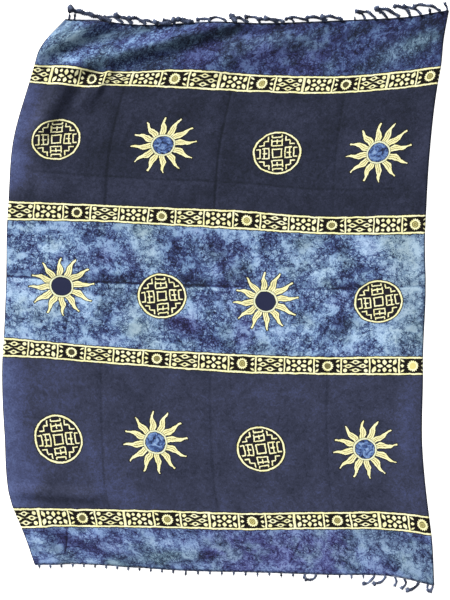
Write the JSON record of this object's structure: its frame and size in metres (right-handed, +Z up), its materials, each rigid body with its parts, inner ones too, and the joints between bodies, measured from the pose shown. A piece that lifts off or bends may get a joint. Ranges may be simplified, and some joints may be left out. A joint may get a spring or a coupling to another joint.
{
  "type": "sarong",
  "caption": "Rectangular batik sarong laid out flat and face up, one layer thick, with twisted fringe along both ends.",
  "frame": {"origin": "centre of the laid cloth and its fringe, on the surface it lies on", "axes": "+Z up out of the printed face, +Y towards the top end of the print, +X to the right seen from above"},
  "size_m": [1.2252, 1.6164, 0.0214],
  "materials": {
    "printed_rayon": "soft matt rayon, indigo batik with pale yellow wax lines",
    "twisted_yarn": "matt, two-ply twisted, dark indigo"
  },
  "bodies": {
    "root": {"panel": "printed_rayon", "fringe_top": "twisted_yarn", "fringe_bottom": "twisted_yarn"}
  },
  "joints": []
}
